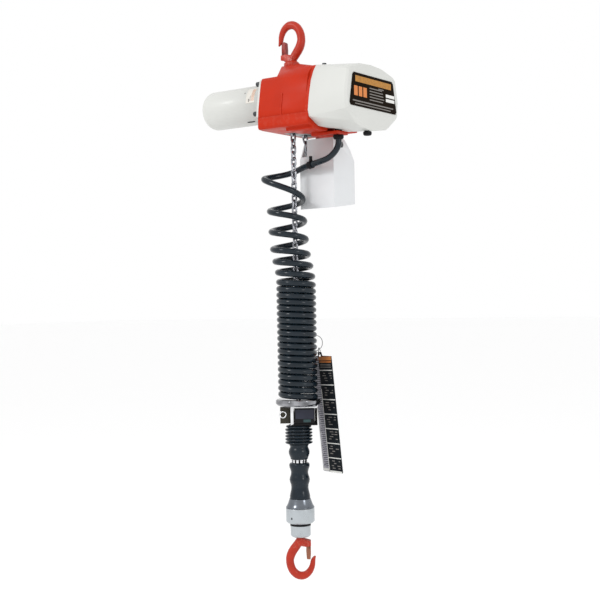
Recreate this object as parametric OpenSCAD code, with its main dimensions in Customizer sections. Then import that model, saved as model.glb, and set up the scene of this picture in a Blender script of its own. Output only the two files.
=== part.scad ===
// Electric chain hoist with a coiled control cord and a grip handle.
// Origin: the seat of the top hook. +Z up, chain and hook axis at x = y = 0.
// Motor towards -X, control cover towards +X, front towards -Y.

/* [Hooks] */
// Radius of the hook's seat
hook_seat_r = 12.3; // [10:0.1:16]
// Radius of the hook's stock
hook_stock_r = 6.7; // [5:0.1:8]
// Height of the hook's bow over its widest point
hook_rise = 25.7; // [22:0.1:28]
// Turn of the top hook about the load line
top_hook_turn = 8; // [0:1:90]
// Turn of the bottom hook about the load line
bottom_hook_turn = 36; // [0:1:90]

/* [Hoist body] */
// Left end of the gear case
case_x0 = -18; // [-20:1:-17]
// Right face of the gear case, where the cover begins
case_x1 = 81; // [78:1:84]
// Right end of the control cover
cover_x1 = 157; // [140:1:170]
// Left end of the motor cover
motor_x0 = -190; // [-210:1:-170]
// Outer radius of the motor cover
motor_r = 33; // [31:0.5:36]
// Height of the drive axis
axis_z = -114; // [-116:1:-112]

/* [Chain] */
// Wire diameter of the chain
wire_d = 3.2; // [3:0.1:3.4]
// Pitch of the chain
pitch = 10; // [10:1:10]
// Outer width of a link
link_w = 10.7; // [10:0.1:11.5]

/* [Coiled cord] */
// Diameter of the cord
cord_d = 10; // [8:0.5:11]
// Mean radius of the coil
coil_r = 28; // [26:0.5:30]
// Top of the closed stack
stack_top = -416; // [-430:1:-400]
// Bottom of the closed stack
stack_bottom = -610; // [-611:1:-600]

/* [Handle] */
// Radius of the flange under the coil
flange_r = 37; // [35:0.5:40]
// Radius of the bellows
bellows_r = 23; // [21:0.5:25]
// Radius of the quick coupler
coupler_r = 23.5; // [22:0.5:25]

/* [Hidden] */
$fn = 64;
eps = 0.02;
clear = 0.3;
view_turn = 36;
wall = 5;
sheave_r = 16.25;
sheave_y = 16.25;
cover_near = [[0, -74], [46, -77], [54, -88], [61, -103], [67, -127], [71, -151], [68.5, -161], [52, -166],
              [44, -173], [0, -173]];
cover_far = [[0, -80], [31, -82], [45, -85.5], [63, -90], [70, -95], [77, -134], [74, -157], [61, -164],
             [51, -173], [42, -178], [0, -184]];
case_half = [[0, -82], [40, -84], [57, -88], [60.5, -93], [64, -110], [69, -140], [70, -153], [0, -153]];
case_inner = [[0, -87], [37, -88.6], [53, -93], [58.5, -111], [63.5, -141], [65, -154], [0, -154]];
plate_half = [[0, -87.3], [36.5, -89], [52.5, -93.4], [58, -111], [63, -141], [63.5, -150], [0, -150]];
lower_half = [[0, -153], [71, -153], [71.5, -169], [69, -172], [60, -173], [0, -173]];
lower_inner = [[0, -152], [66, -152], [62, -159], [61, -163], [48, -168], [0, -168]];
flange_screws = [[-57, -96], [57, -96], [-65.5, -145], [65.5, -145]];
gear_m = 1;
pinion_t = 16;
wheel_t = 48;
gear_gap = gear_m * (pinion_t + wheel_t) / 2;
idler_turn = 200;
idler_y = sheave_y + gear_gap * cos(idler_turn);
idler_z = axis_z + gear_gap * sin(idler_turn);
load_links = 39;
lower_links = 52;
hook_mid_x = -0.4;
hook_mid_z = hook_stock_r - hook_rise;
hook_tip = [[-23.6, 0, -25.6], [-21.6, 0, -22.8], [-20.2, 0, -20]];
hook_back = [[18.4, 0, -22], [17.2, 0, -27], [14.8, 0, -32.5], [11.2, 0, -38], [7, 0, -43.5], [3.3, 0, -48.5],
             [1, 0, -53], [0, 0, -57], [0, 0, -61]];
hook_steps = 18;
hook_route = concat(
  hook_tip,
  [for (i = [0:hook_steps]) let (a = 175 - 176 * i / hook_steps)
    [hook_mid_x + (hook_seat_r + hook_stock_r) * cos(a), 0, hook_mid_z + hook_rise * sin(a)]],
  hook_back);
hook_radii = concat(
  [1, 2.6, 3.5],
  [for (i = [0:hook_steps]) i < 8 ? 4.1 + (hook_stock_r - 4.1) * i / 8 : hook_stock_r],
  [6.9, 7.2, 7.4, 7.4, 7.2, 6.9, 6.7, 6.6, 6.4]);
latch_x = -12.5;
latch_z = -47;
bottom_seat = -895;
slack_top = [0, 32.5, axis_z];
slack_bend = [0, 32.5, axis_z - 6 * pitch];
slack_end = [12.5, 53, -275];
slack_links = 10;
pin_y = 46;
pin_z = -192;
tray_x = [-6, 62];
tray_y = [26, 88];
tray_side = [[26, -214], [26, -296], [88, -288], [88, -216], [76, -198], [60, -183], [52, -180], [42, -180]];
tray_t = 2.5;
inlet_x = 145;
coil_in_r = coil_r - cord_d / 2;
coil_out_r = coil_r + cord_d / 2;
coil_route = [[-13, -9.4, -244], [-13, -9.4, -262], [-10.5, -7.6, -300], [-8.5, -6.2, -334],
              [-5, -3.6, -364], [-2, -1.5, -384], [0, 0, -402], [0, 0, stack_top + clear]];
lead_route = [[88, 3, -190], [88, 3, -197], [86, 2.5, -203], [82, 2, -209], [76, 2, -214], [68, 3, -218],
              [59, 4, -220.5], [49, 6, -222], [38, 8, -223.5], [27, 10.5, -225], [16, 13, -226.5],
              [6, 15, -228.5], [-3, 16.5, -231.5], [-10, 16.8, -235.5], [-15, 16.5, -240],
              [-17.5, 16.3, -245]];
tag_o = [36.5, 17, -533];
tag_loop_turn = 25;
tag_lean = 4.6;
tag_turn = 32;

// ---- helpers ----

// A straight round bar from p to q
module rod(p, q, r, r2) {
  v = q - p;
  translate(p)
    rotate([0, acos(v[2] / norm(v)), atan2(v[1], v[0])])
      cylinder(h = norm(v), r1 = r, r2 = is_undef(r2) ? r : r2);
}

// A tube or bar along X
module bar_x(x0, x1, r, r_in = 0, y = sheave_y, z = axis_z) {
  translate([x0, y, z])
    rotate([0, 90, 0])
      difference() {
        cylinder(h = x1 - x0, r = r);
        if (r_in > 0)
          translate([0, 0, -1])
            cylinder(h = x1 - x0 + 2, r = r_in);
      }
}

// A slab across X with a mirrored half profile in Y and Z
module slab_x(x0, x1, half) {
  n = len(half);
  other = [for (i = [n - 1:-1:0]) if (half[i][0] > 0) [-half[i][0], half[i][1]]];
  translate([x0, 0, 0])
    rotate([90, 0, 90])
      linear_extrude(x1 - x0)
        polygon(concat(half, other));
}

// One chain link, long in Z, wide in X
module link() {
  bend_r = (link_w - wire_d) / 2;
  half = (pitch + 0.4 + wire_d) / 2 - bend_r;
  for (s = [-1, 1])
    translate([s * bend_r, 0, -half])
      cylinder(h = 2 * half, d = wire_d, $fn = 24);
  for (s = [0, 180])
    rotate([0, s, 0])
      translate([0, 0, half])
        rotate([90, 0, 0])
          rotate_extrude(angle = 180, $fn = 32)
            translate([bend_r, 0])
              circle(d = wire_d, $fn = 24);
}

// Links a to b - 1 of the strand that hangs on the load line
module strand(a, b) {
  for (k = [a:b - 1])
    translate([0, 0, axis_z - pitch * (k + 0.5)])
      rotate([0, 0, 90 * (k % 2)])
        link();
}

function inv_at(rb, r) = let (t = sqrt(pow(r / rb, 2) - 1)) t * 180 / PI - atan(t);
function tooth_half(m, t, r, slack) =
  let (rp = m * t / 2, rb = rp * cos(20))
  90 / t - slack / rp * 180 / PI + inv_at(rb, rp) - inv_at(rb, max(r, rb));

// A spur gear outline with involute teeth
module gear_2d(t, slack = 0.12) {
  rp = gear_m * t / 2;
  root_r = rp - 1.25 * gear_m;
  radii = [for (i = [0:4]) let (from = max(root_r, rp * cos(20))) from + (rp + 0.95 * gear_m - from) * i / 4];
  points = [for (k = [0:t - 1]) let (c = 360 * k / t, w = tooth_half(gear_m, t, radii[0], slack)) each concat(
    [[root_r, c - w]],
    [for (r = radii) [r, c - tooth_half(gear_m, t, r, slack)]],
    [for (i = [4:-1:0]) [radii[i], c + tooth_half(gear_m, t, radii[i], slack)]],
    [[root_r, c + w]])];
  polygon([for (p = points) [p[0] * cos(p[1]), p[0] * sin(p[1])]]);
}

// A gear across X, with tooth 0 at the given turn from +Y
module gear_x(x0, x1, t, y, z, turn, bore_r) {
  translate([x0, y, z])
    rotate([90, 0, 90])
      rotate([0, 0, turn])
        linear_extrude(x1 - x0)
          difference() {
            gear_2d(t);
            circle(r = bore_r);
          }
}

// A tube through the points of a route
module route_tube(route, radii, sides) {
  n = len(route);
  rings = [for (i = [0:n - 1])
    let (d = route[min(i + 1, n - 1)] - route[max(i - 1, 0)],
         t = d / norm(d),
         u0 = cross(t, [0.3, 1, 0.1]),
         u = u0 / norm(u0),
         v = cross(t, u))
    for (k = [0:sides - 1])
      route[i] + (is_list(radii) ? radii[i] : radii) * (cos(360 * k / sides) * u + sin(360 * k / sides) * v)];
  walls = [for (i = [0:n - 2]) for (k = [0:sides - 1]) let (e = (k + 1) % sides)
    each [[i * sides + k, (i + 1) * sides + k, (i + 1) * sides + e],
          [i * sides + k, (i + 1) * sides + e, i * sides + e]]];
  polyhedron(points = rings, convexity = 8, faces = concat(
    [[for (k = [0:sides - 1]) k]],
    walls,
    [[for (k = [sides - 1:-1:0]) (n - 1) * sides + k]]));
}

// A hollow tube with level rings down a route
module hollow_tube(route, r_out, r_in, sides) {
  n = len(route);
  points = [for (r = [r_out, r_in]) for (p = route) for (k = [0:sides - 1])
    p + r * [cos(360 * k / sides), sin(360 * k / sides), 0]];
  polyhedron(points = points, convexity = 6, faces = concat(
    [for (i = [0:n - 2]) for (k = [0:sides - 1])
      let (e = (k + 1) % sides, a = i * sides, b = a + sides)
      each [[a + k, a + e, b + e], [a + k, b + e, b + k]]],
    [for (i = [0:n - 2]) for (k = [0:sides - 1])
      let (e = (k + 1) % sides, a = (n + i) * sides, b = a + sides)
      each [[a + k, b + e, a + e], [a + k, b + k, b + e]]],
    [for (k = [0:sides - 1])
      let (e = (k + 1) % sides, a = n * sides)
      each [[k, a + k, a + e], [k, a + e, e]]],
    [for (k = [0:sides - 1])
      let (e = (k + 1) % sides, a = (n - 1) * sides, b = (2 * n - 1) * sides)
      each [[a + k, a + e, b + e], [a + k, b + e, b + k]]]));
}

// A screw head across X with its shank behind it
module screw_x(x, y, z, head_r = 2.6, head_h = 2, shank = 6) {
  bar_x(x, x + head_h, head_r, 0, y, z);
  bar_x(x - shank, x + eps, head_r * 0.5, 0, y, z);
}

// A body turned about Z, from [radius, height] points
module turned(points) {
  rotate_extrude()
    polygon(points);
}

// ---- hoist body ----

module gear_case() {
  color("firebrick")
    difference() {
      union() {
        slab_x(case_x0, case_x1 - 6, case_half);
        slab_x(26, 29, [[0, -118], [66.6, -118], [70.2, -140], [71, -153], [0, -153]]);
        intersection() {
          slab_x(case_x1 - 6, case_x1, cover_near);
          translate([0, -100, -153])
            cube([100, 200, 100]);
        }
        hull() {
          translate([0, 0, -89])
            linear_extrude(1)
              polygon([[12, -57], [case_x1 - 6, -57], [case_x1 - 6, 57], [12, 57], [-13, 25], [-13, -25]]);
          translate([0, 0, -78])
            linear_extrude(1)
              polygon([[40, -45], [case_x1 - 6, -45], [case_x1 - 6, 45], [40, 45]]);
          translate([0, 0, -65])
            linear_extrude(1)
              polygon([[-6, -20], [28, -20], [28, 20], [-6, 20]]);
        }
      }
      slab_x(case_x0 + wall, case_x1 + 1, case_inner);
      cylinder(h = 200, r = hook_stock_r + 0.05, center = true);
      translate([0, 0, -91])
        cylinder(h = 12, r = 14);
      bar_x(case_x0 - 1, case_x0 + wall + 1, 11.05);
    }
}

module lower_case() {
  color("firebrick")
    difference() {
      union() {
        slab_x(case_x0, case_x1, lower_half);
        translate([30, -60, -178])
          cube([case_x1 - 30, 43, 6]);
      }
      slab_x(case_x0 + wall, case_x1 + 1, lower_inner);
      translate([-12.05, -12.05, -180])
        cube([30.1, 62.1, 30]);
    }
}

module container_lugs() {
  color("firebrick")
    difference() {
      for (x = [20, 46])
        translate([x, 36, -197])
          cube([5, 14, 23.95]);
      bar_x(0, 60, 3.05, 0, pin_y, pin_z);
    }
}

module end_plate() {
  color("silver")
    difference() {
      slab_x(70.2, 75, plate_half);
      bar_x(69, 76, 8.05);
      bar_x(69, 76, 6.05, 0, idler_y, idler_z);
    }
}

module gear_plate() {
  color("silver")
    difference() {
      slab_x(21, 27, plate_half);
      bar_x(20, 28, 14.05);
      bar_x(20, 28, 6.05, 0, idler_y, idler_z);
    }
}

module bearings() {
  color("gainsboro") {
    bar_x(21, 27, 14, 8.05);
    bar_x(case_x0 + 1, case_x0 + 7.5, 11, 7.05);
    bar_x(70.2, 75, 8, 3.55);
    bar_x(21, 27, 6, 3.05, idler_y, idler_z);
    bar_x(70.2, 75, 6, 3.05, idler_y, idler_z);
  }
}

module chain_guide() {
  color("silver")
    difference() {
      translate([-12, -12, -172.9])
        cube([30, 62, 32.9]);
      translate([-7, -7, -181])
        cube([14, 14, 42]);
      translate([-7, 25, -181])
        cube([22 - eps, 22, 42]);
      translate([-16, 0, -141])
        cube([36, 32.5, 6]);
      bar_x(-16, 20, 22.5);
    }
}

module motor_flange() {
  color("whitesmoke")
    difference() {
      slab_x(case_x0 - 5, case_x0 - 0.05,
             [for (p = case_half) [max(p[0] - 1, 0), p[1] < -150 ? -151 : p[1] - 1]]);
      bar_x(case_x0 - 6, case_x0, 11.05);
      for (p = flange_screws)
        bar_x(case_x0 - 6, case_x0, 1.7, 0, p[0], p[1]);
    }
}

module flange_bolts() {
  color("dimgray")
    for (p = flange_screws)
      mirror([1, 0, 0])
        screw_x(5.05 - case_x0, p[0], p[1], 4, 5.5, 8);
}

module motor_shield() {
  color("gray")
    difference() {
      bar_x(-40, case_x0 - 5.05, 31);
      bar_x(-41, case_x0, 5);
    }
}

module motor_cover() {
  bend = 16;
  first = 5.05 - case_x0;
  last = -motor_x0;
  color("whitesmoke")
    translate([0, sheave_y, axis_z])
      rotate([0, -90, 0])
        rotate_extrude()
          difference() {
            union() {
              translate([0, first])
                square([motor_r, last - bend - first]);
              translate([0, last - bend])
                intersection() {
                  union() {
                    square([motor_r - bend, bend]);
                    translate([motor_r - bend, 0])
                      circle(r = bend);
                  }
                  square([motor_r, bend]);
                }
            }
            translate([-1, first - 1])
              square([motor_r - 0.9, last - bend - first + 1]);
            translate([-1, first - 1])
              square([motor_r - 14, last - first - 3]);
          }
}

module motor_plate() {
  color("darkgray")
    translate([0, sheave_y, axis_z])
      rotate([0, -90, 0])
        rotate([0, 0, -92])
          rotate_extrude(angle = 48)
            translate([motor_r + 0.05, 67])
              square([0.5, 18]);
}

module stator() {
  color("peru") {
    bar_x(-150, -80, 30.9, 19);
    bar_x(-162, -149.99, 28.5, 21);
    bar_x(-80.01, -68, 28.5, 21);
  }
}

module control_cover() {
  color("whitesmoke")
    difference() {
      union() {
        hull() {
          slab_x(case_x1 + 0.05, case_x1 + 1, cover_near);
          slab_x(cover_x1 - 5, cover_x1 - 4, cover_far);
        }
        hull() {
          slab_x(cover_x1 - 4.5, cover_x1 - 4, cover_far);
          slab_x(cover_x1 - 1, cover_x1,
                 [for (p = cover_far) [max(p[0] - 3, 0), p[1] + (p[1] < -130 ? 3 : -2)]]);
        }
      }
      hull() {
        slab_x(case_x1 - 1, case_x1 + 1,
               [for (p = cover_near) [max(p[0] - 4, 0), p[1] + (p[1] < -130 ? 4 : -4)]]);
        slab_x(cover_x1 - 9, cover_x1 - 6,
               [for (p = cover_far) [max(p[0] - 4, 0), p[1] + (p[1] < -130 ? 4.5 : -4)]]);
      }
      translate([inlet_x, 0, -210])
        cylinder(h = 40, r = 5.05);
      translate([88, 3, -210])
        cylinder(h = 45, r = 6.05);
    }
}

module cover_screws() {
  color("dimgray")
    for (y = [-34, 34])
      translate([88.5, y, -80])
        cylinder(h = 6.2, r = 3.4);
}

module cover_plate() {
  color("black")
    translate([cover_x1 + 0.05, 0, 0])
      rotate([90, 0, 90])
        linear_extrude(1)
          polygon([[-59, -103], [-55, -99.5], [55, -99.5], [59, -103],
                   [68, -147], [65, -151], [-65, -151], [-68, -147]]);
}

module circuit_board() {
  color("seagreen") {
    translate([136, -50, -156])
      cube([1.6, 100, 56]);
    for (y = [-40:16:40])
      translate([128, y, -148])
        cube([8.05, 9, 14]);
  }
  color("dimgray")
    for (y = [-38, 38])
      bar_x(137.5, cover_x1 - 5.5, 3, 0, y, -110);
}

module contactor() {
  color("dimgray")
    difference() {
      translate([106, 36, -150])
        cube([20, 22, 40]);
      for (z = [-142, -118])
        translate([105, 39, z])
          cube([6, 16, 4]);
    }
  color("gray")
    bar_x(75.1, 106.02, 3, 0, 48, -128);
}

module brake_coil() {
  color("saddlebrown")
    bar_x(86, 100, 24, 8);
  color("gray")
    for (a = [90, 210, 330])
      bar_x(75.1, 86.02, 1.8, 0, sheave_y + 21.5 * cos(a), axis_z + 21.5 * sin(a));
}

module cord_bracket() {
  color("firebrick")
    difference() {
      union() {
        translate([46, -14, -183])
          cube([52, 30, 5]);
        translate([46, -14, -179])
          cube([26, 30, 5.95]);
      }
      translate([88, 3, -190])
        cylinder(h = 20, r = 6.05);
    }
}

module cord_gland() {
  color("dimgray")
    translate([88, 3, 0])
      turned([[0, -165], [6, -165], [6, -183.05], [8.5, -183.05], [8.5, -188], [6.5, -190], [0, -190]]);
}

module power_inlet() {
  color("gray")
    translate([inlet_x, 0, 0])
      turned([[3, -176], [5, -176], [5, -184.3], [6.8, -184.3], [6.8, -188], [5.4, -190], [3, -190]]);
}

// ---- drive ----

module sheave() {
  color("silver")
    translate([0, sheave_y, axis_z])
      rotate([0, 90, 0])
        turned([[4, -17], [7, -17], [7, -10], [21, -10], [21, -7], [13.4, -5.9], [13.4, -2.2], [10.4, -2],
                [10.4, 2], [13.4, 2.2], [13.4, 5.9], [21, 7], [21, 10], [8, 10], [8, 47], [4, 47]]);
}

module load_gear() {
  color("silver")
    gear_x(33, 45, wheel_t, sheave_y, axis_z, 20 + 180 / wheel_t, 8 + eps);
}

module idler_gears() {
  color("silver") {
    gear_x(53, 63, wheel_t, idler_y, idler_z, 20 + 180 / wheel_t, 3 - eps);
    gear_x(31, 48, pinion_t, idler_y, idler_z, 20, 3 - eps);
    bar_x(21, 75, 3, 0, idler_y, idler_z);
    bar_x(48 - eps, 53 + eps, 6, 0, idler_y, idler_z);
  }
}

module rotor() {
  color("dimgray") {
    bar_x(-155, -75, 18.5, 3.4);
    bar_x(-172, 104, 3.5);
    gear_x(52, 64, pinion_t, sheave_y, axis_z, 20, 3.4);
    bar_x(-42, case_x0 - 5, 4.95);
  }
}

module brake_disc() {
  color("silver")
    bar_x(79, 84, 18, 3.5 + eps);
}

// ---- hooks ----

// A hook that opens to -X under its seat at the origin, on a shank down to z1
module hook_shape(z1) {
  route_tube(hook_route, hook_radii, 16);
  translate([0, 0, z1])
    cylinder(h = -57 - z1, r = hook_stock_r);
}

// The latch of a hook, from its pivot beside the shank to the hook's tip
module latch_shape() {
  difference() {
    union() {
      translate([0, 4.5, 0])
        rotate([90, 0, 0])
          linear_extrude(9)
            polygon([[-16.3, -48], [-9, -48], [-8.4, -34], [-9.2, -22], [-10.6, -20.8],
                     [-15.4, -20.8], [-16.2, -30]]);
      translate([latch_x, 4.5, latch_z])
        rotate([90, 0, 0])
          cylinder(h = 9, r = 3.8);
    }
    translate([latch_x, 10, latch_z])
      rotate([90, 0, 0])
        cylinder(h = 20, r = 1.55);
  }
}

// The lugs and the pin that carry a hook's latch
module latch_lugs() {
  for (y = [-7.4, 4.8])
    translate([0, y, 0])
      rotate([-90, 0, 0])
        linear_extrude(2.6)
          polygon([[-16.5, 43], [-8, 42], [2, 44], [5, 47], [3, 55], [-3, 55], [-16.5, 51]]);
  translate([latch_x, 7.4, latch_z])
    rotate([90, 0, 0])
      cylinder(h = 14.8, r = 1.5);
}

module top_hook() {
  color("orangered") {
    rotate([0, 0, top_hook_turn]) {
      hook_shape(-88);
      latch_lugs();
    }
    translate([0, 0, -63.9])
      turned([[0, 0], [11, 0], [13, 2], [13, 7], [10, 10], [0, 10]]);
  }
}

module hook_nut() {
  color("dimgray")
    translate([0, 0, -86])
      difference() {
        cylinder(h = 6.5, r = 11, $fn = 6);
        translate([0, 0, -1])
          cylinder(h = 9, r = hook_stock_r - eps);
      }
}

module top_latch() {
  color("darkred")
    rotate([0, 0, top_hook_turn])
      latch_shape();
}

module bottom_hook() {
  color("orangered")
    translate([0, 0, bottom_seat])
      rotate([0, 0, bottom_hook_turn])
        rotate([0, 180, 0]) {
          hook_shape(-80);
          latch_lugs();
          translate([0, 0, -83.5])
            cylinder(h = 5.2, r = 9.5);
        }
}

module bottom_latch() {
  color("peru")
    translate([0, 0, bottom_seat])
      rotate([0, 0, bottom_hook_turn])
        rotate([0, 180, 0])
          latch_shape();
}

// ---- chain ----

module wrapped_chain() {
  color("silver")
    for (k = [0:4])
      translate([0, sheave_y, axis_z])
        rotate([180 - 36 * (k + 0.5), 0, 0])
          translate([0, sheave_r * cos(18) + (k % 2 == 0 ? 1 : 0), 0])
            rotate([0, 0, 90 * ((k + 1) % 2)])
              link();
}

module load_chain() {
  color("silver")
    strand(0, load_links);
}

module lower_chain() {
  color("silver")
    strand(load_links, lower_links);
}

module slack_chain() {
  way = (slack_end - slack_bend) / norm(slack_end - slack_bend);
  color("silver") {
    for (k = [0:5])
      translate(slack_top - [0, 0, pitch * (k + 0.5)])
        rotate([0, 0, 90 * (k % 2)])
          link();
    for (k = [0:slack_links - 1])
      translate(slack_bend + way * pitch * (k + 0.5))
        rotate([atan2(way[1], -way[2]), 0, 0])
          rotate([0, -asin(way[0]), 0])
            rotate([0, 0, 90 * (k % 2)])
              link();
  }
}

module chain_pile() {
  slope = 7.69;
  color("silver")
    for (layer = [0, 1])
      for (i = [0:2])
        for (k = [0:3])
          translate([7.5 + 17.5 * i + 4 * layer, 36 + 12 * k + layer, -290.5 + 1.62 * k + 3.8 * layer])
            rotate([slope, 0, 0])
              rotate([0, 90, 0])
                rotate([0, 0, 90])
                  link();
}

module chain_container() {
  color("gainsboro")
    difference() {
      union() {
        translate([tray_x[0], 0, 0])
          rotate([90, 0, 90])
            linear_extrude(tray_x[1] - tray_x[0])
              polygon(tray_side);
        translate([9, tray_y[0], -220])
          cube([tray_x[1] - 9, tray_t, 39]);
        translate([tray_x[1] - tray_t, 0, 0])
          rotate([90, 0, 90])
            linear_extrude(tray_t)
              polygon([[26, -214], [26, -181], [42, -180], [42, -200]]);
      }
      translate([tray_x[0] + tray_t, 0, 0])
        rotate([90, 0, 90])
          linear_extrude(tray_x[1] - tray_x[0] - 2 * tray_t)
            polygon([[tray_y[0] + tray_t, -150], [tray_y[0] + tray_t, -293.5],
                     [tray_y[1] - tray_t, -285.8], [tray_y[1] - tray_t, -150]]);
      bar_x(tray_x[0] - 1, tray_x[1] + 1, 3.05, 0, pin_y, pin_z);
    }
}

module container_pin() {
  color("silver") {
    bar_x(tray_x[0] - 1, tray_x[1] + 1, 3, 0, pin_y, pin_z);
    bar_x(tray_x[0] - 3, tray_x[0] - 0.98, 5, 0, pin_y, pin_z);
    bar_x(tray_x[1] + 0.98, tray_x[1] + 3, 5, 0, pin_y, pin_z);
  }
}

// ---- control cord ----

module control_lead() {
  color("black")
    route_tube(lead_route, cord_d / 2, 12);
}

module cord_clamp() {
  p = [27, 10.5, -225];
  color("dimgray") {
    rod(p + [-4, 0.9, -0.5], p + [4, -0.9, 0.5], cord_d / 2 + 1.5);
    translate(p + [-2, -2, 5])
      cube([4, 4, 9]);
  }
}

module coil_open() {
  color("black")
    hollow_tube(coil_route, coil_out_r, coil_in_r, 24);
}

module coil_stack() {
  color("black")
    difference() {
      translate([0, 0, stack_bottom])
        cylinder(h = stack_top - stack_bottom, r = coil_out_r);
      translate([0, 0, stack_bottom - 1])
        cylinder(h = stack_top - stack_bottom + 2, r = coil_in_r);
    }
}

// ---- handle ----

module coil_flange() {
  color("silver")
    turned([[9, stack_bottom], [flange_r - 2, stack_bottom], [flange_r, stack_bottom - 2],
            [flange_r, -617], [flange_r - 3, -620], [9, -620]]);
}

module switch_frame() {
  color("silver")
    rotate([0, 0, view_turn]) {
      difference() {
        translate([-13, -20, -624])
          cube([44, 40, 4]);
        cylinder(h = 1400, r = 9, center = true);
      }
      difference() {
        translate([-13, -20, -652])
          cube([44, 40, 3]);
        cylinder(h = 1400, r = 8.6, center = true);
      }
      for (y = [-20, 16])
        translate([-13, y, -650])
          cube([5, 4, 28]);
      translate([27, -5, -650])
        cube([4, 10, 28]);
      translate([-13, -4, -637])
        cube([3, 8, 14]);
    }
}

module switch_body() {
  color("black")
    rotate([0, 0, view_turn])
      difference() {
        translate([-7, -22, -648.5])
          cube([33.5, 44, 24]);
        cylinder(h = 1400, r = 9.2, center = true);
        translate([-8, 15.5, -660])
          cube([0.9, 10, 50]);
      }
}

module control_lever() {
  color("darkolivegreen")
    rotate([0, 0, view_turn]) {
      difference() {
        translate([-30, -12, -649])
          cube([16.8, 24, 25.5]);
        translate([-32, -8, -645])
          cube([10, 16, 17]);
      }
      bar_x(-22.5, -8, 2.5, 0, 9.3, -630);
    }
}

module chain_connector() {
  color("gray")
    difference() {
      translate([0, 0, -660])
        cylinder(h = 30, r = 8.5);
      translate([-3, -7, -639])
        cube([6, 14, 10]);
      translate([-7, -3, -639])
        cube([14, 6, 10]);
    }
}

module bellows() {
  ribs = 6;
  step = 31.6 / ribs;
  top = -652.2;
  color("black")
    turned(concat(
      [[bellows_r - 8, top]],
      [for (k = [0:ribs - 1]) let (r = bellows_r - (k < 1 ? 2 : 0.5)) each [
        [r - 4.5, top - k * step], [r - 4.5, top - (k + 0.15) * step],
        [r - 0.6, top - (k + 0.3) * step], [r, top - (k + 0.45) * step], [r, top - (k + 0.65) * step],
        [r - 0.6, top - (k + 0.8) * step], [r - 4.5, top - (k + 0.92) * step]]],
      [[bellows_r - 4, top - 31.6], [bellows_r - 8, top - 31.6]]));
}

module grip_tube() {
  color("silver")
    difference() {
      translate([0, 0, -786])
        cylinder(h = 125.9, r = 8);
      translate([0, 0, -790])
        cylinder(h = 128, r = 5);
    }
}

module upper_grip() {
  color("black")
    turned([[8.05, -684], [16, -684], [16, -686], [14.8, -688], [15, -690], [16.4, -693], [17.3, -696.5],
            [17.1, -700], [16, -703.5], [14.6, -706.5], [14.4, -709], [8.05, -709]]);
}

module grip_ring() {
  color("silver")
    turned([[8.05, -709.05], [12.8, -709.05], [12.8, -714.95], [8.05, -714.95]]);
}

module lower_grip() {
  color("black")
    turned([[8.05, -715], [14.6, -715], [16.4, -716.5], [17, -719], [16.6, -722], [15, -726.5], [14.1, -731],
            [14.6, -735], [16, -739], [16.8, -743], [16, -747], [14.6, -751], [14.1, -755.5], [14.6, -760],
            [15.8, -765], [16.7, -769.5], [16.9, -774], [8.05, -774]]);
}

module coupler_cup() {
  color("silver")
    turned([[8.05, -774.05], [17.6, -774.05], [18.4, -777], [20.6, -783], [22.3, -786.3], [coupler_r, -787.6],
            [coupler_r, -788.5], [17.05, -788.5], [17.05, -786], [8.05, -786]]);
}

module coupler_sleeve() {
  color("silver")
    turned([[17.1, -788.8], [coupler_r - 0.6, -788.8], [coupler_r, -789.6], [coupler_r, -811],
            [coupler_r - 2.4, -813.6], [17.1, -813.6]]);
}

module coupler_collar() {
  color("silver")
    difference() {
      turned([[0, -786.05], [17, -786.05], [17, -820], [16.5, -820],
              [16.5, -834], [14.5, -836.5], [0, -836.5]]);
      translate([0, 0, -837])
        cylinder(h = 22, r = hook_stock_r + 0.05);
      translate([0, 0, -817.1])
        cylinder(h = 6, r = 10);
    }
}

// ---- tags ----

// Places its children in the tags' frame: origin at the ring, hanging along -Z
module tag_frame() {
  rotate([0, 0, view_turn])
    translate(tag_o)
      rotate([0, -tag_lean, 0])
        children();
}

// A tag plate under the ring, from w0 to w1 across, with its hole at hole_w
module tag_plate(offset_n, w0, w1, long, hole_w) {
  rotate([0, 0, tag_turn])
    translate([offset_n, 0, -2.8])
      rotate([90, 0, 90])
        difference() {
          linear_extrude(0.8)
            polygon([[hole_w - 5, 1.5], [hole_w + 5, 1.5], [hole_w + 5, -4.5], [w1, -5.5], [w1, -long + 2],
                     [w1 - 2, -long], [w0 + 2, -long], [w0, -long + 2], [w0, -5.5], [hole_w - 7, -4.5]]);
          translate([hole_w, -4, -1])
            cylinder(h = 4, r = 3.2, $fn = 24);
        }
}

module tag_loop() {
  color("silver")
    rotate([0, 0, view_turn + tag_loop_turn])
      translate([34, 0, -519])
        rotate([90, 0, 0])
          rotate_extrude()
            translate([12.6, 0])
              circle(r = 0.6, $fn = 16);
}

module tag_ring() {
  color("silver")
    tag_frame()
      rotate([90, 0, 74])
        rotate_extrude()
          translate([5.6, 0])
            circle(r = 0.6, $fn = 16);
}

module warning_tag() {
  color("black")
    tag_frame()
      tag_plate(-1.6, -37, 3, 199, -2);
}

module text_tag() {
  color("gray")
    tag_frame()
      tag_plate(0.6, -17, 25, 199, 0.8);
}

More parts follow.
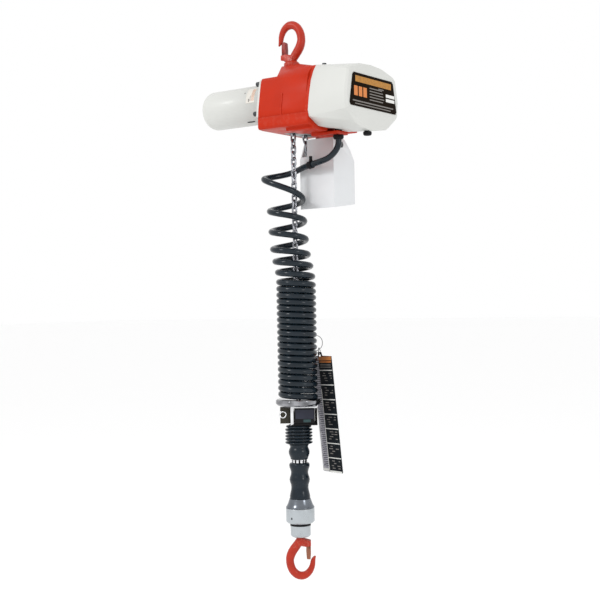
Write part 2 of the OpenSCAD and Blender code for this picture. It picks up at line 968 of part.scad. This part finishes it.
gear_case();
lower_case();
end_plate();
gear_plate();
bearings();
chain_guide();
container_lugs();
motor_flange();
flange_bolts();
motor_shield();
motor_cover();
motor_plate();
stator();
control_cover();
cover_screws();
cover_plate();
circuit_board();
contactor();
brake_coil();
cord_bracket();
cord_gland();
power_inlet();
sheave();
load_gear();
idler_gears();
rotor();
brake_disc();
top_hook();
hook_nut();
top_latch();
bottom_hook();
bottom_latch();
wrapped_chain();
load_chain();
lower_chain();
slack_chain();
chain_pile();
chain_container();
container_pin();
control_lead();
cord_clamp();
coil_open();
coil_stack();
coil_flange();
switch_frame();
switch_body();
control_lever();
chain_connector();
bellows();
grip_tube();
upper_grip();
grip_ring();
lower_grip();
coupler_cup();
coupler_sleeve();
coupler_collar();
tag_loop();
tag_ring();
warning_tag();
text_tag();
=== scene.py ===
import bisect
import math
import random

import bmesh
import bpy
from mathutils import Matrix, Vector


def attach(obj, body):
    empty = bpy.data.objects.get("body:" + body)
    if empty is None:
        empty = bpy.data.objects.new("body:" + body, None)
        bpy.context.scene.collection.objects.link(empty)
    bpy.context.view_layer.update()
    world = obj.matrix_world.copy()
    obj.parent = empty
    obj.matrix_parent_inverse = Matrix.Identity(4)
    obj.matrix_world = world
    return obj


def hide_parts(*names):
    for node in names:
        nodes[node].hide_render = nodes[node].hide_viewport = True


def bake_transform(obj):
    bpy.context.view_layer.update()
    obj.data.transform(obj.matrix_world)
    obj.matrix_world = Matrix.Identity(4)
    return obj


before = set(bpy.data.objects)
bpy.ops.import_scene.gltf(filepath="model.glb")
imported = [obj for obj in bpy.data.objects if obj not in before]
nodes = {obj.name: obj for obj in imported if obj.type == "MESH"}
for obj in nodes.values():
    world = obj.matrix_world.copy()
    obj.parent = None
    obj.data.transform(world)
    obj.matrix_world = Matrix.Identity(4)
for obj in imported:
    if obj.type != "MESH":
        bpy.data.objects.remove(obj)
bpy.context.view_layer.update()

# how far round from the front (-Y) the camera stands
VIEW_TURN = math.radians(36)
COS, SIN = math.cos(VIEW_TURN), math.sin(VIEW_TURN)


def local(x, y, z):
    """A point x mm to the camera's right of the load line, y mm beyond it and at height z mm, in metres."""
    return Vector((x * COS - y * SIN, x * SIN + y * COS, z)) / 1000


def mm(x, y, z):
    """A point given in mm, in metres."""
    return Vector((x, y, z)) / 1000


# ---- camera ----
CAMERA_PLACE = (1.101, -1.505, -0.447)
LENS = 67.8
SENSOR = 36
# the camera leans sideways by this slope
ROLL = 0.0192

cam_data = bpy.data.cameras.new("camera")
cam_data.sensor_width = SENSOR
cam_data.lens = LENS
cam_data.clip_end = 60
cam = bpy.data.objects.new("camera", cam_data)
bpy.context.scene.collection.objects.link(cam)
right, up, ahead = Vector((COS, SIN, 0)), Vector((0, 0, 1)), Vector((-SIN, COS, 0))
axes = [right - up * ROLL, up + right * ROLL, -ahead]
spin = Matrix([[axes[c][r] for c in range(3)] for r in range(3)]).normalized()
cam.matrix_world = Matrix.Translation(CAMERA_PLACE) @ spin.to_4x4()
bpy.context.scene.camera = cam


# ---- mesh helpers ----
def make(name, verts, faces, finish, body=None, slot=None, smooth=True):
    """A new piece with its finish and the body it rides on. The slot argument is not used."""
    mesh = bpy.data.meshes.new(name)
    mesh.from_pydata([tuple(v) for v in verts], [], faces)
    bm = bmesh.new()
    bm.from_mesh(mesh)
    bmesh.ops.remove_doubles(bm, verts=bm.verts, dist=1e-6)
    bmesh.ops.recalc_face_normals(bm, faces=bm.faces)
    bm.to_mesh(mesh)
    bm.free()
    for p in mesh.polygons:
        p.use_smooth = smooth
    obj = bpy.data.objects.new(name, mesh)
    bpy.context.scene.collection.objects.link(obj)
    mesh.materials.append(finish)
    if body:
        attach(obj, body)
    return obj


def frames_along(path):
    """Two directions across a path at each of its points, which don't twist round it: [(side, up)]."""
    out, side = [], None
    for i in range(len(path)):
        t = (path[min(i + 1, len(path) - 1)] - path[max(i - 1, 0)]).normalized()
        if side is None:
            side = t.cross(Vector((0.31, 0.87, 0.4))).normalized()
        side = (side - t * side.dot(t)).normalized()
        out.append((side, t.cross(side)))
    return out


def tube_data(path, radius, sides):
    """Vertices and faces of a closed tube along a path."""
    verts, faces = [], []
    for p, (u, v) in zip(path, frames_along(path)):
        for k in range(sides):
            w = math.tau * k / sides
            verts.append(p + u * (radius * math.cos(w)) + v * (radius * math.sin(w)))
    for i in range(len(path) - 1):
        for k in range(sides):
            e = (k + 1) % sides
            faces.append((i * sides + k, i * sides + e, (i + 1) * sides + e, (i + 1) * sides + k))
    faces.append(tuple(range(sides)))
    faces.append(tuple(range((len(path) - 1) * sides, len(path) * sides)))
    return verts, faces


def strip(rows, base):
    """Faces of a strip whose vertices are made in pairs, for a number of rows, from vertex base on."""
    return [tuple(base + k for k in (2 * i, 2 * i + 1, 2 * i + 3, 2 * i + 2)) for i in range(rows)]


def smooth_path(points, steps):
    """A Catmull-Rom curve through the points."""
    pts = [points[0]] + list(points) + [points[-1]]
    out = []
    for i in range(1, len(pts) - 2):
        a, b, c, d = pts[i - 1:i + 3]
        for s in range(steps):
            t = s / steps
            out.append(0.5 * (2 * b + (c - a) * t + (2 * a - 5 * b + 4 * c - d) * t * t
                              + (3 * b - a - 3 * c + d) * t ** 3))
    out.append(points[-1])
    return out


def eased(path, passes):
    """A path with its corners taken off: each pass draws every inner point towards its neighbours."""
    for _ in range(passes):
        inner = [(a + b * 2 + c) / 4 for a, b, c in zip(path, path[1:], path[2:])]
        path = [path[0]] + inner + [path[-1]]
    return path


def along(table, t):
    """The value at t in a table of (t, value) pairs, with straight lines between them."""
    i = min(max(bisect.bisect([a for a, _ in table], t), 1), len(table) - 1)
    (a, p), (b, q) = table[i - 1], table[i]
    return p + (q - p) * (t - a) / (b - a)


# ---- materials ----
# the part of a noise texture's range that most of its values are in
NOISE_RANGE = (0.3, 0.7)
# Pointiness of a flat stretch and of a worn edge
EDGE_RANGE = (0.53, 0.6)
# a noise texture's values where a spot of wear starts and is full
SPOT_RANGE = (0.5, 0.62)
BUMP_DEPTH = 0.0005
COAT_ROUGH = 0.12
LEAST_ROUGH = 0.03


def srgb(r, g, b):
    """A linear colour from sRGB values of 0 to 255."""
    return tuple(((c / 255 + 0.055) / 1.055) ** 2.4 if c > 10 else c / 255 / 12.92 for c in (r, g, b))


def noise(nt, coords, scale, detail):
    """The value of a noise texture in the object's own space."""
    node = nt.nodes.new("ShaderNodeTexNoise")
    node.inputs["Scale"].default_value = scale
    node.inputs["Detail"].default_value = detail
    nt.links.new(coords.outputs["Object"], node.inputs["Vector"])
    return node.outputs["Fac"]


def map_range(nt, value, source, target):
    """A value mapped from the source range to the target range."""
    node = nt.nodes.new("ShaderNodeMapRange")
    node.inputs["From Min"].default_value, node.inputs["From Max"].default_value = source
    node.inputs["To Min"].default_value, node.inputs["To Max"].default_value = target
    nt.links.new(value, node.inputs["Value"])
    return node.outputs["Result"]


def worn(nt, coords, colour, scale, wear, wear_colour):
    """A colour that is rubbed to wear_colour in spots along sharp edges."""
    geo = nt.nodes.new("ShaderNodeNewGeometry")
    edge = map_range(nt, geo.outputs["Pointiness"], EDGE_RANGE, (0, 1))
    spots = map_range(nt, noise(nt, coords, scale * 6, 2), SPOT_RANGE, (0, wear))
    both = nt.nodes.new("ShaderNodeMath")
    both.operation = "MULTIPLY"
    nt.links.new(edge, both.inputs[0])
    nt.links.new(spots, both.inputs[1])
    mix = nt.nodes.new("ShaderNodeMix")
    mix.data_type = "RGBA"
    mix.inputs["B"].default_value = (*wear_colour, 1)
    nt.links.new(both.outputs["Value"], mix.inputs["Factor"])
    nt.links.new(colour, mix.inputs["A"])
    return mix.outputs["Result"]


def material(name, colour, rough=0.5, metal=0.0, vary=0.08, scale=60.0, bump=0.0, bump_scale=400.0,
             wear=0.0, wear_colour=(0.35, 0.35, 0.36), coat=0.0, rough_vary=0.12, spec=0.5):
    """A procedural finish: blotchy tone and roughness, fine bump, and worn edges."""
    m = bpy.data.materials.new(name)
    m.use_nodes = True
    nt = m.node_tree
    bsdf = nt.nodes["Principled BSDF"]
    bsdf.inputs["Roughness"].default_value = rough
    bsdf.inputs["Metallic"].default_value = metal
    bsdf.inputs["Specular IOR Level"].default_value = spec
    bsdf.inputs["Coat Weight"].default_value = coat
    bsdf.inputs["Coat Roughness"].default_value = COAT_ROUGH
    coords = nt.nodes.new("ShaderNodeTexCoord")
    blotches = noise(nt, coords, scale, 5)
    tone = nt.nodes.new("ShaderNodeVectorMath")
    tone.operation = "SCALE"
    tone.inputs[0].default_value = colour
    nt.links.new(map_range(nt, blotches, NOISE_RANGE, (1 - vary, 1 + vary * 0.4)), tone.inputs["Scale"])
    base = tone.outputs["Vector"]
    if wear:
        base = worn(nt, coords, base, scale, wear, wear_colour)
    nt.links.new(base, bsdf.inputs["Base Color"])
    if rough_vary:
        shine = (max(rough - rough_vary, LEAST_ROUGH), min(rough + rough_vary, 1))
        nt.links.new(map_range(nt, blotches, NOISE_RANGE, shine), bsdf.inputs["Roughness"])
    if bump:
        b = nt.nodes.new("ShaderNodeBump")
        b.inputs["Strength"].default_value = bump
        b.inputs["Distance"].default_value = BUMP_DEPTH
        nt.links.new(noise(nt, coords, bump_scale, 3), b.inputs["Height"])
        nt.links.new(b.outputs["Normal"], bsdf.inputs["Normal"])
    return m


# paint
RED = material("case_paint", srgb(180, 41, 14), 0.42, vary=0.08, scale=30, bump=0.25, bump_scale=900,
               wear=0.2, wear_colour=(0.5, 0.12, 0.08), spec=0.12)
HOOK = material("hook_paint", srgb(172, 46, 27), 0.34, vary=0.12, scale=70, bump=0.35, bump_scale=500,
                wear=0.35, wear_colour=(0.42, 0.14, 0.1), coat=0.05, spec=0.22)
WHITE = material("cover_paint", srgb(203, 204, 200), 0.45, vary=0.03, scale=18, bump=0.3, bump_scale=1500,
                 wear=0.12, wear_colour=(0.6, 0.6, 0.58), coat=0.1, spec=0.35)
LATCH_RED = material("latch_paint", srgb(132, 34, 24), 0.4, vary=0.15, scale=120, bump=0.2, wear=0.4,
                     spec=0.3)

# metal
LATCH_TAN = material("latch_plate", srgb(146, 92, 68), 0.4, metal=0.4, vary=0.2, scale=160, bump=0.2)
SCREW = material("screw_steel", srgb(70, 72, 74), 0.42, metal=0.9, vary=0.25, scale=300, bump=0.3)
STEEL = material("machined_steel", srgb(185, 186, 188), 0.3, metal=1.0, vary=0.15, scale=150, bump=0.1)
CAST = material("cast_alloy", srgb(170, 171, 172), 0.55, metal=0.8, vary=0.15, scale=90, bump=0.6)
COPPER = material("winding", srgb(160, 92, 50), 0.4, metal=0.8, vary=0.3, scale=500, bump=0.8,
                  bump_scale=1200)
CHAIN = material("chain_zinc", srgb(166, 168, 174), 0.2, metal=1.0, vary=0.5, scale=240, bump=0.15)
# the chrome's strong, large blotches of tone are painted reflections, light and dark bands in place of its
# surroundings
REFLECTION_PAINTED_CHROME = material("chrome", srgb(150, 151, 155), 0.12, metal=1.0, vary=0.75, scale=45, rough_vary=0.06)
BRIGHT = material("bright_chrome", srgb(226, 227, 229), 0.14, metal=1.0, vary=0.12, scale=60, rough_vary=0.06)
SATIN = material("satin_alloy", srgb(178, 184, 188), 0.34, metal=0.75, vary=0.08, scale=70, bump=0.15,
                 bump_scale=1800, wear=0.3, wear_colour=(0.4, 0.4, 0.4))
CUP = material("cup_metal", srgb(112, 117, 124), 0.24, metal=0.9, vary=0.15, scale=80, rough_vary=0.06)
WIRE = material("wire", srgb(150, 150, 150), 0.3, metal=1.0, vary=0.2, scale=500)

# plastic and rubber
DARK = material("dark_moulding", srgb(16, 16, 19), 0.5, vary=0.2, scale=120, bump=0.3, bump_scale=1200,
                spec=0.16)
TRAY = material("tray_plastic", srgb(214, 216, 218), 0.46, vary=0.03, scale=25, bump=0.15, bump_scale=700,
                spec=0.35)
CORD = material("cord_sheath", srgb(20, 31, 39), 0.2, vary=0.3, scale=80, bump=0.06, bump_scale=600,
                rough_vary=0.06, spec=0.3)
GRIP = material("grip_rubber", srgb(18, 30, 39), 0.24, vary=0.25, scale=90, bump=0.12, bump_scale=900,
                spec=0.28)
OLIVE = material("lever_olive", srgb(44, 41, 30), 0.42, vary=0.25, scale=160, bump=0.3, spec=0.3)
BOARD = material("board_green", srgb(30, 96, 58), 0.45, vary=0.3, scale=300, bump=0.1)

# plates, tags and prints
BLACK_PLATE = material("plate_film", srgb(26, 18, 10), 0.55, vary=0.3, scale=40, bump=0.05, spec=0.02)
GREY_PLATE = material("small_plate", srgb(214, 210, 202), 0.4, metal=0.1, vary=0.1)
TAG_BLACK = material("tag_film", srgb(28, 32, 36), 0.55, vary=0.25, scale=90, bump=0.1, spec=0.02)
TAG_GREY = material("tag_grey", srgb(176, 174, 184), 0.45, vary=0.75, scale=520, bump=0.1, spec=0.2)
SLATE = material("switch_face", srgb(44, 46, 58), 0.4, vary=0.2, scale=90, spec=0.2)
GOLD_PRINT = material("gold_print", srgb(176, 122, 50), 0.4, vary=0.25, scale=300, spec=0.2)
AMBER = material("amber_print", srgb(206, 124, 62), 0.4, vary=0.1, spec=0.2)
PALE = material("pale_print", srgb(222, 222, 218), 0.45, vary=0.06, spec=0.2)
DIM = material("dim_print", srgb(120, 116, 112), 0.45, vary=0.1, spec=0.2)
TAN = material("tan_print", srgb(190, 120, 66), 0.42, vary=0.1, spec=0.2)
GREEN = material("switch_green", srgb(50, 72, 74), 0.4, vary=0.2, scale=200, spec=0.2)

# ---- the cord: lead, open turns and closed stack, as one tube ----
CORD_R = 0.005
CORD_SIDES = 12
# the coil's turns are counted from the top: first the open ones, then the closed stack
TURNS = 24.6
OPEN_TURNS = 7
TURN_POINTS = 24
COIL_R = 28
# how much wider the first turn starts
TOP_FLARE = 2
STACK_TOP = -428
STACK_PITCH = 10.2
EASE_PASSES = 6
# the part of a turn's radius that is left after the path is eased
EASED = 0.902
# height of the cord by turns of the coil, over the open turns
LEVELS = [(0, -246), (0.5, -282), (1, -300), (1.5, -317), (2, -334), (2.5, -347), (3, -363), (3.5, -372),
          (4, -383), (4.5, -391), (5, -401), (5.5, -408.5), (6, -417), (6.5, -422.5), (OPEN_TURNS, STACK_TOP)]
# how far the middle of a turn stands to the camera's right of the load line
SHIFTS = [(0, -17), (1, -13), (2, -11), (3, -9), (4, -5.5), (5, -1.5), (6, 0), (40, 0)]
# the route from the gland to the coil, in mm
LEAD = [(88, 3, -184), (88, 3, -190), (88, 3, -197), (86, 2.5, -203), (82, 2, -209), (76, 2, -214),
        (68, 3, -218), (59, 4, -220.5), (49, 6, -222), (38, 8, -223.5), (27, 10.5, -225), (16, 13, -226.5),
        (6, 15, -228.5), (-3, 17.5, -231), (-13, 17.5, -234), (-23, 13, -237), (-32, 4, -239.5),
        (-38, -8, -242), (-41, -18, -244)]


def coil_point(t):
    """The middle of the cord after t turns of the coil."""
    z = along(LEVELS, t) if t < OPEN_TURNS else STACK_TOP - STACK_PITCH * (t - OPEN_TURNS)
    r = (COIL_R + TOP_FLARE * max(0, 1 - t)) / EASED
    w = math.pi + math.tau * t
    return local(along(SHIFTS, t) + r * math.cos(w), r * math.sin(w), z)


coil = [coil_point(k / TURN_POINTS) for k in range(int(TURNS * TURN_POINTS) + 1)]
# the lead's curve ends on the coil's third point
LEAD_CURVE = smooth_path([mm(*p) for p in LEAD] + coil[:3], 3)
# the tables of levels and shifts have corners, so the path is eased
CORD_PATH = eased(LEAD_CURVE[:-1] + coil[2:], EASE_PASSES)
cord = make("control_cord", *tube_data(CORD_PATH, CORD_R, CORD_SIDES), CORD, slot="cord_black")
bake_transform(cord)
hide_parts("control_lead", "coil_open", "coil_stack")


# ---- floor and light ----
FLOOR_Z = -1.1
FLOOR_REACH = 30

floor_mat = bpy.data.materials.new("floor")
floor_mat.use_nodes = True
floor_shader = floor_mat.node_tree.nodes["Principled BSDF"]
floor_shader.inputs["Base Color"].default_value = (0.98, 0.98, 0.98, 1)
floor_shader.inputs["Roughness"].default_value = 0.9
corners = [(x * FLOOR_REACH, y * FLOOR_REACH, FLOOR_Z) for x, y in ((-1, -1), (1, -1), (1, 1), (-1, 1))]
floor = make("floor", corners, [(0, 1, 2, 3)], floor_mat, smooth=False)
world = bpy.data.worlds.new("studio")
bpy.context.scene.world = world
world.use_nodes = True
world.node_tree.nodes["Background"].inputs["Color"].default_value = (1, 1, 1, 1)
world.node_tree.nodes["Background"].inputs["Strength"].default_value = 1.0


def area_light(name, place, aim, size, power):
    """A square light of size metres and power watts, which faces the point aim."""
    data = bpy.data.lights.new(name, "AREA")
    data.size = size
    data.energy = power
    obj = bpy.data.objects.new(name, data)
    obj.location = place
    obj.rotation_euler = (Vector(aim) - Vector(place)).to_track_quat("-Z", "Y").to_euler()
    bpy.context.scene.collection.objects.link(obj)


area_light("key", place=(-0.7, -2.0, 1.0), aim=(0, 0, -0.35), size=0.5, power=19)
area_light("side", place=(2.4, -0.4, 0.1), aim=(0, 0, -0.5), size=0.4, power=8)
bpy.context.scene.view_settings.view_transform = "Standard"

# ---- finishes of the CAD nodes ----
# the CAD nodes of each finish, with the width of their bevel in mm, or 0 for sharp edges
FINISHES = [
    (RED, {"gear_case": 1.0, "lower_case": 1.2, "container_lugs": 0.5, "cord_bracket": 0.8}),
    (WHITE, {"motor_cover": 0, "motor_flange": 0.8, "control_cover": 1.2}),
    (HOOK, {"top_hook": 0.4, "bottom_hook": 0.4}),
    (LATCH_RED, {"top_latch": 0.3}),
    (LATCH_TAN, {"bottom_latch": 0.3}),
    (SCREW, {"flange_bolts": 0.4, "cover_screws": 0.4, "hook_nut": 0.5, "container_pin": 0.4, "tag_ring": 0}),
    (STEEL, {"bearings": 0.3, "sheave": 0.3, "load_gear": 0, "idler_gears": 0, "rotor": 0, "brake_disc": 0.4,
             "chain_connector": 0.4, "grip_tube": 0}),
    (CAST, {"end_plate": 0.5, "gear_plate": 0.5, "chain_guide": 0.6, "motor_shield": 0.8}),
    (COPPER, {"stator": 0, "brake_coil": 0.5}),
    (CHAIN, {"wrapped_chain": 0, "load_chain": 0, "lower_chain": 0, "slack_chain": 0, "chain_pile": 0}),
    # the coil flange's chrome carries painted reflections
    (REFLECTION_PAINTED_CHROME, {"coil_flange": 0.5}),
    (BRIGHT, {"switch_frame": 0.7, "grip_ring": 0.5}),
    (SATIN, {"coupler_sleeve": 0.5, "coupler_collar": 0.5}),
    (CUP, {"coupler_cup": 0.4}),
    (WIRE, {"tag_loop": 0}),
    (DARK, {"contactor": 0.6, "cord_gland": 0.5, "power_inlet": 0.4, "cord_clamp": 0.5, "switch_body": 1.2}),
    (TRAY, {"chain_container": 1.2}),
    (GRIP, {"bellows": 0.3, "upper_grip": 0.8, "lower_grip": 0.8}),
    (OLIVE, {"control_lever": 0.8}),
    (BOARD, {"circuit_board": 0.2}),
    (BLACK_PLATE, {"cover_plate": 0.2}),
    (GREY_PLATE, {"motor_plate": 0.1}),
    (TAG_BLACK, {"warning_tag": 0.15}),
    (TAG_GREY, {"text_tag": 0.15}),
]
BEVEL_ANGLE = math.radians(28)
SHARP_ANGLE = math.radians(35)
# the switch frame is dark to the camera's right of here and below here, in metres
FRAME_DARK_RIGHT = 0.0262
FRAME_DARK_BELOW = -0.6485


def finish_node(obj, finish, edge):
    """Gives a CAD node its finish, smooth shading, and either a bevel of edge mm or sharp edges."""
    mesh = obj.data
    if not mesh.materials:
        mesh.materials.append(finish)
    for i in range(len(mesh.materials)):
        mesh.materials[i] = finish
    mesh.polygons.foreach_set("use_smooth", [True] * len(mesh.polygons))
    weld = obj.modifiers.new("weld", "WELD")
    weld.merge_threshold = 1e-6
    if not edge:
        mesh.set_sharp_from_angle(angle=SHARP_ANGLE)
        return
    bevel = obj.modifiers.new("bevel", "BEVEL")
    bevel.width = edge / 1000
    bevel.segments = 3
    bevel.limit_method = "ANGLE"
    bevel.angle_limit = BEVEL_ANGLE
    bevel.harden_normals = True


def darken_frame(obj):
    """Makes the right end and the foot of the switch frame dark."""
    obj.data.materials.append(DARK)
    for p in obj.data.polygons:
        c = obj.matrix_world @ p.center
        if c.x * COS + c.y * SIN > FRAME_DARK_RIGHT or c.z < FRAME_DARK_BELOW:
            p.material_index = len(obj.data.materials) - 1


for finish, group in FINISHES:
    for name, edge in group.items():
        finish_node(nodes[name], finish, edge)
darken_frame(nodes["switch_frame"])


# ---- prints: plain bars only ----
def prints(name, place, rects, body, finish):
    """Flat bars from (y0, z0, y1, z1) in mm, in the plane across X of place."""
    verts, faces = [], []
    for y0, z0, y1, z1 in rects:
        faces.append(tuple(range(len(verts), len(verts) + 4)))
        verts += [place @ (Vector((0, y, z)) / 1000) for y, z in ((y0, z0), (y1, z0), (y1, z1), (y0, z1))]
    return make(name, verts, faces, finish, body, smooth=False)


fine = random.Random(5)

# ---- the control cover's plate ----
PLATE_FACE = 0.15808
TEXT_LEFT = -12

label = Matrix.Translation((PLATE_FACE, 0, 0))
prints("label_band", label, [(-52, -104, 52, -113.5)], "hoist", GOLD_PRINT)
prints("label_block", label, [(y, -120, y + 10, -135) for y in (-56, -43, -30)], "hoist", AMBER)
prints("label_white", label, [(36, z, 62, z - 5) for z in (-122, -129)], "hoist", PALE)
lines = [(TEXT_LEFT, z, TEXT_LEFT + fine.uniform(26, 44), z - 1.6)
         for z in (-118, -122.5, -127, -131.5, -136)]
lines += [(-60, -142, 58, -144), (-54, -146.5, 50, -148), (14, -116, 30, -117.5)]
prints("label_lines", label, lines, "hoist", DIM)

# ---- the tags ----
TAG_TURN, TAG_LEAN = 32, 4.6
# the left and right side of each tag from its hanging point, and the height where its side strip ends, in mm
FRONT_TAG, BACK_TAG = (-37, 3), (-17, 25)
TAG_FOOT = -196
TAG_PLACE = (0.0365, 0.017, -0.533)
TAG_DROP = -0.0028
FRONT_FACE, BACK_FACE = -0.00162, 0.00058
# the rules across the front tag, with a block of text lines under each
RULES = [-28.1 - 24.3 * k for k in range(7)]
BLOCK_TOP = 5
LINE_PITCH = 4
LINE_HEIGHT = 1.4

tag_hang = (Matrix.Rotation(VIEW_TURN, 4, "Z") @ Matrix.Translation(TAG_PLACE)
            @ Matrix.Rotation(math.radians(-TAG_LEAN), 4, "Y")
            @ Matrix.Rotation(math.radians(TAG_TURN), 4, "Z"))


def front_tag_prints(left, right):
    """Two bands at the top, rules, a side strip, and short bars in place of the text."""
    place = tag_hang @ Matrix.Translation((FRONT_FACE, 0, TAG_DROP))
    prints("tag_top_band", place, [(left + 1, -6, right - 1, -12.5)], "tags", TAN)
    prints("tag_low_band", place, [(left + 2, -14, right - 2, -16)], "tags", AMBER)
    rules = [(left + 0.6, z, right - 0.6, z - 1.5) for z in RULES]
    rules += [(left + 2, TAG_FOOT, right - 2, -198.8), (right - 1.6, -60, right - 0.1, TAG_FOOT)]
    prints("tag_rules", place, rules, "tags", PALE)
    marks = [(left + 4, z, right - 4, z - 1) for z in (-18.5, -21, -23.5)]
    for z in RULES:
        for k in range(4):
            top = z - BLOCK_TOP - LINE_PITCH * k
            y = (left + right) / 2 + fine.uniform(-4, 4)
            marks.append((y, top, y + fine.uniform(6, 12), top - LINE_HEIGHT))
            if fine.random() < 0.6:
                marks.append((left + 5, top, left + 5 + fine.uniform(3, 9), top - LINE_HEIGHT))
    prints("tag_marks", place, marks, "tags", DIM)


def back_tag_prints(left, right):
    """A border and short bars, to the right of the front tag."""
    place = tag_hang @ Matrix.Translation((BACK_FACE, 0, TAG_DROP))
    border = [(right - 1.8, -8, right - 0.2, TAG_FOOT), (left + 2, -194, right - 2, -198)]
    prints("back_tag_border", place, border, "tags", PALE)
    lines = []
    for k in range(56):
        top = -12 - 3.2 * k
        lines.append((FRONT_TAG[1] + fine.uniform(1, 4), top, right - fine.uniform(3, 8), top - 1.3))
    prints("back_tag_lines", place, lines, "tags", SLATE)


front_tag_prints(*FRONT_TAG)
back_tag_prints(*BACK_TAG)

# ---- motor details ----
MOTOR_AXIS = Matrix.Translation((0, 0.01625, -0.114))
# radii in mm just outside the small plate and the cover
SMALL_PLATE_R, COVER_R = 33.62, 33.06
PATCH_STEPS = 8


def patches(name, rows, finish, r):
    """Patches round the motor at radius r, from (x0, x1, a0, a1), with a0 and a1 up from its front line."""
    verts, faces = [], []
    for x0, x1, a0, a1 in rows:
        faces += strip(PATCH_STEPS, len(verts))
        for i in range(PATCH_STEPS + 1):
            a = math.radians(a0 + (a1 - a0) * i / PATCH_STEPS)
            verts += [MOTOR_AXIS @ mm(x, -r * math.cos(a), r * math.sin(a)) for x in (x0, x1)]
    make(name, verts, faces, finish, "hoist")


red_bars = [(-73.5 + 2.2 * k, -72.6 + 2.2 * k, 4, 43) for k in range(3)]
patches("motor_plate_red", red_bars, TAN, SMALL_PLATE_R)
patches("motor_plate_dark", [(-80, -78, 2, 11), (-76.5, -75.4, 4, 20)], DIM, SMALL_PLATE_R)
patches("motor_slot", [(-96, -80, -66, -60)], DARK, COVER_R)
patches("motor_screw_mark", [(-91.5, -89, 30, 34)], DIM, COVER_R)

# ---- handle details ----
SWITCH_FACE_Y, SWITCH_PATCH_Y = -22.03, -22.05
LEVER_RING = (-25.4, -12.4, -634.5)
LEVER_RING_R = 5
LEVER_RING_POINTS = 32
LEVER_WIRE_R = 0.0012


def face_at(y):
    """A print's place: a plane across the camera's line of sight, y mm beyond the load line."""
    return (Matrix.Translation(local(0, y, 0)) @ Matrix.Rotation(VIEW_TURN, 4, "Z")
            @ Matrix.Rotation(math.radians(-90), 4, "Z"))


def ring_point(k):
    """The middle of the lever ring's wire at its point k."""
    x, y, z = LEVER_RING
    w = math.tau * k / LEVER_RING_POINTS
    return local(x + LEVER_RING_R * math.cos(w), y, z + LEVER_RING_R * math.sin(w))


def band(name, r, z0, z1, spans, body, steps=6):
    """Dark patches round the load line at radius r, from z0 to z1, one for each (from, to) pair of angles."""
    verts, faces = [], []
    for a0, a1 in spans:
        faces += strip(steps, len(verts))
        for i in range(steps + 1):
            w = math.radians(a0 + (a1 - a0) * i / steps)
            verts += [mm(r * math.cos(w), r * math.sin(w), z) for z in (z0, z1)]
    make(name, verts, faces, DARK, body)


prints("switch_face", face_at(SWITCH_FACE_Y), [(-5, -626, 25, -641)], "handle", SLATE)
prints("switch_patch", face_at(SWITCH_PATCH_Y), [(8, -642, 20, -646.5)], "handle", GREEN)
ring = [ring_point(k) for k in range(LEVER_RING_POINTS + 1)]
make("lever_ring", *tube_data(ring, LEVER_WIRE_R, 8), BRIGHT, "control_lever", "chrome")
slots = [(30 * k, 30 * k + 13) for k in range(12)]
band("grip_ring_slots", r=12.85, z0=-714.4, z1=-709.6, spans=slots, body="handle")
# a thin dark band of painted shade, where the groove between the coupler's sleeve and collar falls in shadow
band("coupler_groove_painted_shade", r=17.04, z0=-818.2, z1=-813.2, spans=[(0, 360)], body="handle", steps=48)
band("sleeve_mark", r=23.53, z0=-806, z1=-802.5, spans=[(266, 272)], body="coupler_sleeve")
